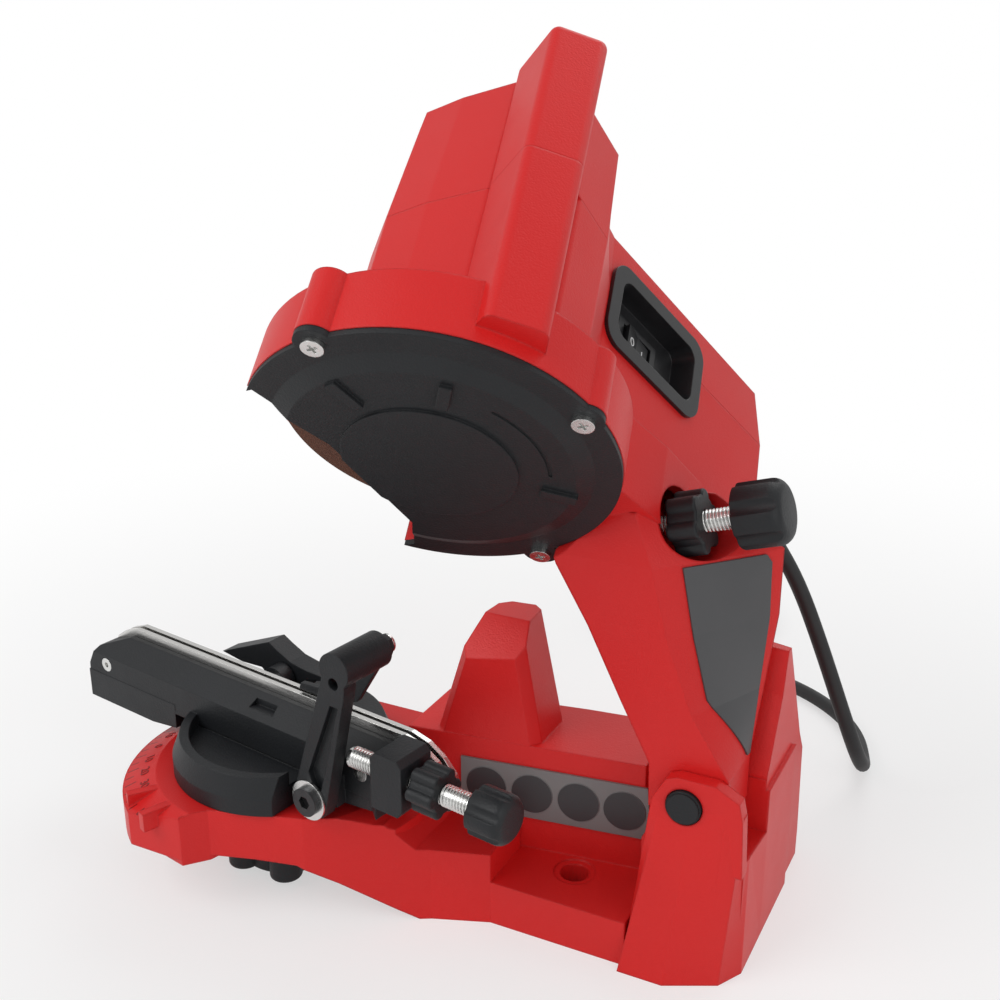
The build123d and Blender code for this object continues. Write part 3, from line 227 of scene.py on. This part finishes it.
dress(rubber, "cord_gland", "mains_cord", "cord_coil")

# ---------------------------------------------------------------------
# Red shells: injection moulded base and both half shells of the head, in warm red plastic with a fine
# spark-eroded grain. The scale of degrees is moulded in the cone around the turntable, and its ticks
# and numbers are darkened with painted shade.
# ---------------------------------------------------------------------


def red_plastic(name):
    finish = Finish(name, 0.36)
    finish.shader.inputs["Specular IOR Level"].default_value = 0.3
    finish.red = finish.mix(finish.noise(9, 2), (0.66, 0.015, 0.016), (0.72, 0.02, 0.018))
    finish.fine = finish.noise(1500, 4)
    finish.set("Roughness", 0.32 + finish.noise(60) * 0.12)
    return finish


shell_grain, shell_edge = 0.00012, 0.0011
shell_red = red_plastic("shell_red")
shell_red.set("Base Color", shell_red.red)
shell_red.grain(shell_red.fine, shell_grain, shell_edge)
dress(shell_red, "housing_front", "housing_rear")

table_x, table_y = -0.119, -0.055
cone_foot, cone_top, cone_rim = 0.0402, 0.0457, 0.0636
scale_middle, scale_half = 195, 47
tick_every, tick_edge, tick_from = 5, 0.44, 0.0595
long_tick_every, long_tick_edge, long_tick_from = 10, 0.47, 0.0582
base_red = red_plastic("base_red")
east, north, height = base_red.parts(base_red.turned(shift=(-table_x, -table_y, 0)))
bearing = base_red.math("ARCTAN2", north, east) * (180 / pi)
bearing = bearing + (bearing < 0) * 360
reach = base_red.math("SQRT", east * east + north * north)
on_cone = (height > cone_foot) * (height < cone_top) * (reach < cone_rim)
in_scale = (bearing > scale_middle - scale_half) * (bearing < scale_middle + scale_half)
tick = base_red.math("ABSOLUTE", base_red.math("FRACT", bearing / tick_every) - 0.5) > tick_edge
long_tick = base_red.math("ABSOLUTE",
                          base_red.math("FRACT", bearing / long_tick_every) - 0.5) > long_tick_edge
shaded_scale_marks = (tick * (reach > tick_from)).most(long_tick * (reach > long_tick_from)) * on_cone * in_scale
# painted shade: the scale's ticks are coloured dark red where shade would fall in their grooves
base_red.set("Base Color", base_red.mix(shaded_scale_marks, base_red.red, (0.22, 0.008, 0.008)))
base_red.grain(base_red.fine - shaded_scale_marks * 1.5, shell_grain, shell_edge)
dress(base_red, "base_housing")


def lay(piece, spot, right, up, out):
    """Put a flat piece on a face, by the three directions it is read from."""
    piece.matrix_world = Matrix.Translation(spot) @ Matrix((right, up, out)).transposed().to_4x4()
    bpy.ops.object.transform_apply()


# the scale's numbers: 30 to 0 to 30, raised on the cone, with faces darkened as painted shade
scale_painted_shade = Finish("scale_painted_shade", 0.45)
# painted shade: the raised numbers' faces are coloured dark red
scale_painted_shade.mottle(400, (0.2, 0.008, 0.008), (0.26, 0.012, 0.01))
cone_lean = atan2(5.6, 12.8)
number_reach, number_height, number_size, number_relief = 0.0552, 0.0436, 0.0052, 0.00012
for degree in range(-30, 40, 10):
    around = radians(scale_middle + degree)
    outward = Vector((cos(around), sin(around), 0))
    along = Vector((-sin(around), cos(around), 0))
    upward = Vector((0, 0, 1)) * sin(cone_lean) - outward * cos(cone_lean)
    bpy.ops.object.select_all(action="DESELECT")
    bpy.ops.object.text_add()
    digits = bpy.context.object
    digits.name = f"scale_number_{degree + 30}"
    digits.data.body = str(abs(degree))
    digits.data.size = number_size
    digits.data.extrude = number_relief
    digits.data.align_x = "CENTER"
    digits.data.align_y = "CENTER"
    bpy.ops.object.convert(target="MESH")
    spot = Vector((table_x, table_y, number_height)) + outward * number_reach
    lay(digits, spot, along, upward, along.cross(upward))
    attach(digits, "base")
    digits.data.materials.append(scale_painted_shade.material)

# ---------------------------------------------------------------------
# Black mouldings: turntable, guard, knobs, stop arm and lever, in glass-filled black plastic with a
# dull, slightly blue-grey skin. The switch, the plug and the disc's nut are smoother and glossier.
# ---------------------------------------------------------------------
black_skin = Finish("black_skin", 0.46)
black_skin.shader.inputs["Specular IOR Level"].default_value = 0.35
black_skin.mottle(30, (0.0085, 0.0095, 0.011), (0.014, 0.0155, 0.018))
black_skin.set("Roughness", 0.4 + black_skin.noise(90) * 0.16)
black_skin.grain(black_skin.noise(1300, 4), 0.00014, 0.0007)
dress(black_skin, "turntable", "stop_arm", "guard_cover", "lock_knob", "clamp_lever", "pivot_cap",
      "adjuster_knob", "adjuster_lock_nut", "depth_knob", "depth_lock_nut", "underside_plate",
      "brush_holder", "stop_pawl")

switch_black = Finish("switch_black", 0.28)
switch_black.mottle(200, (0.01, 0.01, 0.011), (0.018, 0.018, 0.02))
switch_black.grain(switch_black.noise(2000, 2), 0.00003, 0.0005)
dress(switch_black, "switch_bezel", "switch_body", "rocker", "brush_left", "brush_right", "clamp_nut",
      "plug")

# ---------------------------------------------------------------------
# Metal: sheared steel strips with a ground face, zinc-plated screws and pins, a blackened stop bolt,
# laminated stator and rotor, and brass-coloured pivot bushes and commutator.
# ---------------------------------------------------------------------
rail_angle = radians(170)
strip_steel = Finish("strip_steel", 0.24, 1.0)
lines = strip_steel.noise(1, 4, strip_steel.turned((60, 3000, 3000), (0, 0, -rail_angle)))
strip_steel.set("Base Color", strip_steel.mix(lines, (0.7, 0.69, 0.67), (0.8, 0.79, 0.77)))
strip_steel.set("Roughness", 0.2 + lines * 0.1)
strip_steel.grain(lines, 0.00001, 0.0004)
dress(strip_steel, "strip_front", "strip_rear")

plated = Finish("plated_steel", 0.22, 1.0)
plated.mottle(150, (0.66, 0.66, 0.65), (0.8, 0.8, 0.78))
plated.set("Roughness", 0.16 + plated.noise(500) * 0.14)
plated.grain(plated.noise(2500, 2), 0.00003, 0.0003)
dress(plated, "strip_screw_left", "strip_screw_right", "pivot_bolt", "pivot_nut", "pivot_washer",
      "return_spring", "lock_washer", "turntable_bolt", "clamp_pin", "clamp_clip", "stop_washer",
      "stop_pin", "pin_ring", "adjuster_screw", "depth_screw", "guard_screw_1", "guard_screw_2",
      "guard_screw_3", "inner_flange", "motor_shaft", "bearing_front", "bearing_rear", "rocker_pin")

black_oxide = Finish("black_oxide", 0.3, 0.7)
black_oxide.mottle(300, (0.03, 0.03, 0.032), (0.06, 0.06, 0.062))
black_oxide.grain(black_oxide.noise(2200, 2), 0.00003, 0.0003)
dress(black_oxide, "stop_bolt")

sheet_stack = Finish("sheet_stack", 0.4, 0.9)
sheet_stack.mottle(80, (0.3, 0.3, 0.31), (0.42, 0.42, 0.43))
motor_lean = 0.9
across_sheets = sheet_stack.turned(rotation=(motor_lean, 0, 0))
layers = sheet_stack.node("ShaderNodeTexWave", None, {"Vector": across_sheets, "Scale": 300.0},
                          out="Fac")
sheet_stack.grain(layers, 0.0001)
dress(sheet_stack, "rotor", "stator")

bush_brass = Finish("bush_brass", 0.35, 1.0)
bush_brass.mottle(120, (0.6, 0.4, 0.17), (0.72, 0.5, 0.22))
bush_brass.grain(bush_brass.noise(900), 0.00004)
dress(bush_brass, "bush_front", "bush_rear", "commutator")

# ---------------------------------------------------------------------
# Grinding disc: brown aluminium oxide grit bonded in resin and pressed flat, rough on its rim and
# faces. It is clamped between the inner flange and the nut.
# ---------------------------------------------------------------------
grit = Finish("disc_grit", 0.85)
speck = grit.noise(1400, 2)
grit.set("Base Color", grit.mix(speck, (0.06, 0.02, 0.014), (0.2, 0.085, 0.05)))
grit.set("Roughness", 0.7 + speck * 0.3)
grit.grain(speck + grit.noise(400) * 0.5, 0.0003)
dress(grit, "grinding_disc")

# ---------------------------------------------------------------------
# Plates: thin printed film in grey, glued in shallow fields and left blank. The panel on the base
# keeps its four dark round fields.
# ---------------------------------------------------------------------
film_grain, film_edge = 0.00002, 0.0003
wall_x, wall_y, wall_turn = -0.0715, -0.0379, atan2(14.0, 100.0)
field_rise, field_radius = 0.043, 0.0081
panel_film = Finish("panel_film", 0.35)
east, north, rise = panel_film.parts(panel_film.turned(shift=(-wall_x, -wall_y, 0)))
run = east * cos(wall_turn) + north * sin(wall_turn)
rise = rise - field_rise
fields = None
for field_run in (0.0325, 0.051, 0.0695, 0.0875):
    off = run - field_run
    field = panel_film.math("SQRT", off * off + rise * rise) < field_radius
    fields = field if fields is None else fields.most(field)
film = panel_film.mix(panel_film.noise(40), (0.16, 0.155, 0.155), (0.2, 0.195, 0.195))
panel_film.set("Base Color", panel_film.mix(fields, film, (0.03, 0.03, 0.033)))
panel_film.grain(panel_film.noise(800), film_grain, film_edge)
dress(panel_film, "info_panel")

plate_film = Finish("plate_film", 0.35)
plate_film.mottle(40, (0.06, 0.06, 0.063), (0.08, 0.08, 0.084))
plate_film.grain(plate_film.noise(800), film_grain, film_edge)
dress(plate_film, "rating_plate")

# ---------------------------------------------------------------------
# Threaded rods: M8 by 1.25, rolled thread on zinc-plated steel. One pushes the stop arm, the other
# sets how deep the head comes down.
# ---------------------------------------------------------------------
pitch = 0.00125
core_radius, ridge_radius, ridge_size, thread_margin = 0.00345, 0.00334, 0.00066, 0.0009
rail_along = Vector((cos(rail_angle), sin(rail_angle), 0))
rail_across = Vector((-sin(rail_angle), cos(rail_angle), 0))
depth_angle = radians(17)
head_along = Vector((cos(depth_angle), 0, sin(depth_angle)))


def bevel_faces(piece, chosen, width, steps):
    """Round the edges of the faces whose normal the test picks."""
    bpy.ops.object.mode_set(mode="EDIT")
    bpy.ops.mesh.select_mode(type="FACE")
    bpy.ops.mesh.select_all(action="DESELECT")
    bpy.ops.object.mode_set(mode="OBJECT")
    for face in piece.data.polygons:
        face.select = chosen(face.normal)
    bpy.ops.object.mode_set(mode="EDIT")
    bpy.ops.mesh.bevel(offset=width, segments=steps, affect="EDGES")
    bpy.ops.object.mode_set(mode="OBJECT")


def stand(piece, start, direction):
    """Put a piece that was made along Z on its place and axis."""
    turn = direction.to_track_quat("Z", "Y").to_matrix().to_4x4()
    piece.matrix_world = Matrix.Translation(start) @ turn
    bpy.ops.object.transform_apply()


def threaded_rod(name, node, start, direction, length):
    bpy.ops.object.select_all(action="DESELECT")
    bpy.ops.mesh.primitive_circle_add(vertices=3, radius=ridge_size, fill_type="NOTHING",
                                      location=(ridge_radius, 0, thread_margin),
                                      rotation=(pi / 2, pi / 2, 0))
    thread = bpy.context.object
    bpy.ops.object.transform_apply()
    wind = thread.modifiers.new("wind", "SCREW")
    wind.axis = "Z"
    wind.angle = tau
    wind.screw_offset = pitch
    wind.iterations = int((length - 2 * thread_margin) / pitch)
    wind.steps = wind.render_steps = 20
    bpy.ops.object.modifier_apply(modifier=wind.name)
    bpy.ops.object.mode_set(mode="EDIT")
    bpy.ops.mesh.select_mode(type="EDGE")
    bpy.ops.mesh.select_all(action="DESELECT")
    bpy.ops.mesh.select_non_manifold()
    bpy.ops.mesh.fill()
    bpy.ops.mesh.select_all(action="SELECT")
    bpy.ops.mesh.normals_make_consistent(inside=False)
    bpy.ops.object.mode_set(mode="OBJECT")
    bpy.ops.object.select_all(action="DESELECT")
    bpy.ops.mesh.primitive_cylinder_add(vertices=40, radius=core_radius, depth=length,
                                        location=(0, 0, length / 2))
    rod = bpy.context.object
    bpy.ops.object.transform_apply()
    bevel_faces(rod, lambda normal: abs(normal.z) > 0.9, width=0.0007, steps=2)
    thread.select_set(True)
    bpy.context.view_layer.objects.active = rod
    bpy.ops.object.join()
    rod.name = name
    stand(rod, start, direction)
    rod.data.shade_smooth()
    bpy.ops.object.shade_smooth_by_angle(angle=radians(40))
    rod.data.materials.append(plated.material)
    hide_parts(node)
    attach(rod, node)


adjuster_height, adjuster_across = 0.0755, 0.02
adjuster_at = Vector((table_x, table_y, adjuster_height)) + rail_across * adjuster_across
depth_at = Vector((0.0205, -0.023, 0.1564))
threaded_rod("adjuster_thread", "adjuster_screw", start=adjuster_at - rail_along * 0.118,
             direction=rail_along, length=0.062)
threaded_rod("depth_thread", "depth_screw", start=depth_at - head_along * 0.023,
             direction=head_along, length=0.063)

# ---------------------------------------------------------------------
# Star knobs: black nylon moulded on the ends of both adjusting rods, with a domed head and six
# scallops around it for the fingers.
# ---------------------------------------------------------------------
dome_share, scallop_share, scallop_ring = 0.38, 0.27, 1.13
fingers = 6


def star_knob(name, node, start, direction, knob_radius, length):
    bpy.ops.object.select_all(action="DESELECT")
    bpy.ops.mesh.primitive_cylinder_add(vertices=72, radius=knob_radius, depth=length,
                                        location=(0, 0, length / 2))
    knob = bpy.context.object
    bpy.ops.object.transform_apply()
    bevel_faces(knob, lambda normal: normal.z > 0.99, width=knob_radius * dome_share, steps=6)
    bevel_faces(knob, lambda normal: normal.z < -0.99, width=0.0009, steps=2)
    for k in range(fingers):
        bpy.ops.object.select_all(action="DESELECT")
        around = tau * (k + 0.5) / fingers
        ring = knob_radius * scallop_ring
        bpy.ops.mesh.primitive_cylinder_add(vertices=32, radius=knob_radius * scallop_share,
                                            depth=length * 3,
                                            location=(ring * cos(around), ring * sin(around), 0))
        scallop = bpy.context.object
        cut = knob.modifiers.new("scallop", "BOOLEAN")
        cut.object = scallop
        cut.operation = "DIFFERENCE"
        bpy.context.view_layer.objects.active = knob
        bpy.ops.object.modifier_apply(modifier=cut.name)
        bpy.data.objects.remove(scallop)
    soften = knob.modifiers.new("soften", "BEVEL")
    soften.width = 0.0006
    soften.segments = 2
    soften.limit_method = "ANGLE"
    soften.angle_limit = radians(35)
    bpy.ops.object.select_all(action="DESELECT")
    knob.select_set(True)
    bpy.context.view_layer.objects.active = knob
    bpy.ops.object.modifier_apply(modifier=soften.name)
    knob.name = name
    stand(knob, start, direction)
    bpy.ops.object.shade_smooth_by_angle(angle=radians(35))
    knob.data.materials.append(black_skin.material)
    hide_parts(node)
    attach(knob, node)


star_knob("depth_star", "depth_knob", start=depth_at + head_along * 0.032, direction=head_along,
          knob_radius=0.0114, length=0.017)
star_knob("adjuster_star", "adjuster_knob", start=adjuster_at - rail_along * 0.113,
          direction=-rail_along, knob_radius=0.0088, length=0.014)

# ---------------------------------------------------------------------
# Rocker marks: O and I moulded in the rocker's two halves and filled with white paint. Each lies in
# the slope of its own half.
# ---------------------------------------------------------------------
mark_white = Finish("mark_white", 0.5)
mark_white.mottle(500, (0.78, 0.78, 0.78), (0.84, 0.84, 0.84))
rocker_at = Vector((-0.0003455, 0.002078, 0.2112145))
wall_along = Vector((0.377412, 0.634126, -0.674866))
wall_out = Vector((0.906775, -0.105166, 0.408288))
head_normal = Vector((-0.187933, 0.766044, 0.614701))
for name, run, rise, lean in (("mark_off", -0.0043, 0.00445, radians(-14.2)),
                              ("mark_on", 0.0036, 0.00295, radians(-7.0))):
    bpy.ops.object.select_all(action="DESELECT")
    if name == "mark_off":
        bpy.ops.mesh.primitive_torus_add(major_segments=40, minor_segments=8, major_radius=0.0014,
                                         minor_radius=0.00022)
        mark = bpy.context.object
    else:
        bpy.ops.mesh.primitive_cube_add(size=1, scale=(0.0032, 0.0005, 0.0003))
        mark = bpy.context.object
        bpy.ops.object.transform_apply()
        bevel_faces(mark, lambda normal: True, width=0.0001, steps=2)
    mark.name = name
    tangent = wall_along * cos(lean) + wall_out * sin(lean)
    facing = wall_out * cos(lean) - wall_along * sin(lean)
    spot = rocker_at + wall_along * run + wall_out * rise
    lay(mark, spot, head_normal, -tangent, facing)
    mark.data.materials.append(mark_white.material)
    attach(mark, "rocker")

# ---------------------------------------------------------------------
# Floor, lamps and sky: plain pale bench top and soft studio light. The floor is seen as white away
# from the tool, and shaded only near it.
# ---------------------------------------------------------------------
shade_near, shade_far, shade_share = 0.18, 0.62, 0.55
floor_gleam, sky_gleam = 0.6, 0.4
bpy.ops.object.select_all(action="DESELECT")
bpy.ops.mesh.primitive_plane_add(size=12)
floor = bpy.context.object
floor.name = "floor"
floor_paint = Finish("floor_paint", 0.7)
floor_paint.shader.inputs["Base Color"].default_value = (0.9, 0.9, 0.9, 1)
sight = floor_paint.node("ShaderNodeLightPath", out="Is Camera Ray")
gleam = floor_paint.node("ShaderNodeLightPath", out="Is Glossy Ray")
afar = floor_paint.node("ShaderNodeVectorMath", {"operation": "LENGTH"}, {0: floor_paint.place},
                        out="Value")
afar = floor_paint.node("ShaderNodeMapRange", {"interpolation_type": "SMOOTHSTEP"},
                        {0: afar, 1: shade_near, 2: shade_far, 3: shade_share, 4: 1.0})
white = floor_paint.node("ShaderNodeEmission", None, {"Color": (1, 1, 1, 1)})
blank = floor_paint.node("ShaderNodeMixShader", None,
                         {0: sight.most(gleam * floor_gleam) * afar,
                          1: Wire(floor_paint, floor_paint.shader.outputs[0]), 2: white})
floor_paint.tree.links.new(blank.socket, floor_paint.tree.nodes["Material Output"].inputs[0])
floor.data.materials.append(floor_paint.material)

lamp_aim = Vector((0, 0, 0.12))
for name, place, size, power in (("key", (-0.7, -0.9, 1.1), 0.9, 9), ("fill", (1.1, -0.7, 0.7), 1.0, 4),
                                 ("back", (0.1, 1.0, 1.1), 1.0, 5)):
    lamp_data = bpy.data.lights.new(name, "AREA")
    lamp_data.size = size
    lamp_data.energy = power
    lamp = bpy.data.objects.new(name, lamp_data)
    lamp.location = place
    lamp.rotation_euler = (lamp_aim - Vector(place)).to_track_quat("-Z", "Y").to_euler()
    bpy.context.scene.collection.objects.link(lamp)

# the sky lights the tool softly, is plain white to the camera, and brighter in reflections
world = bpy.data.worlds.new("studio")
bpy.context.scene.world = world
world.use_nodes = True
sky_nodes, sky_links = world.node_tree.nodes, world.node_tree.links
sky = sky_nodes["Background"]
pale = sky_nodes.new("ShaderNodeBackground")
for backdrop, strength in ((sky, 0.42), (pale, 1.0)):
    backdrop.inputs["Color"].default_value = (1, 1, 1, 1)
    backdrop.inputs["Strength"].default_value = strength
ray = sky_nodes.new("ShaderNodeLightPath")
seen = sky_nodes.new("ShaderNodeMath")
seen.operation = "MULTIPLY_ADD"
seen.inputs[1].default_value = sky_gleam
both = sky_nodes.new("ShaderNodeMixShader")
for source, target in ((ray.outputs["Is Glossy Ray"], seen.inputs[0]),
                       (ray.outputs["Is Camera Ray"], seen.inputs[2]),
                       (seen.outputs[0], both.inputs[0]), (sky.outputs[0], both.inputs[1]),
                       (pale.outputs[0], both.inputs[2]),
                       (both.outputs[0], sky_nodes["World Output"].inputs[0])):
    sky_links.new(source, target)
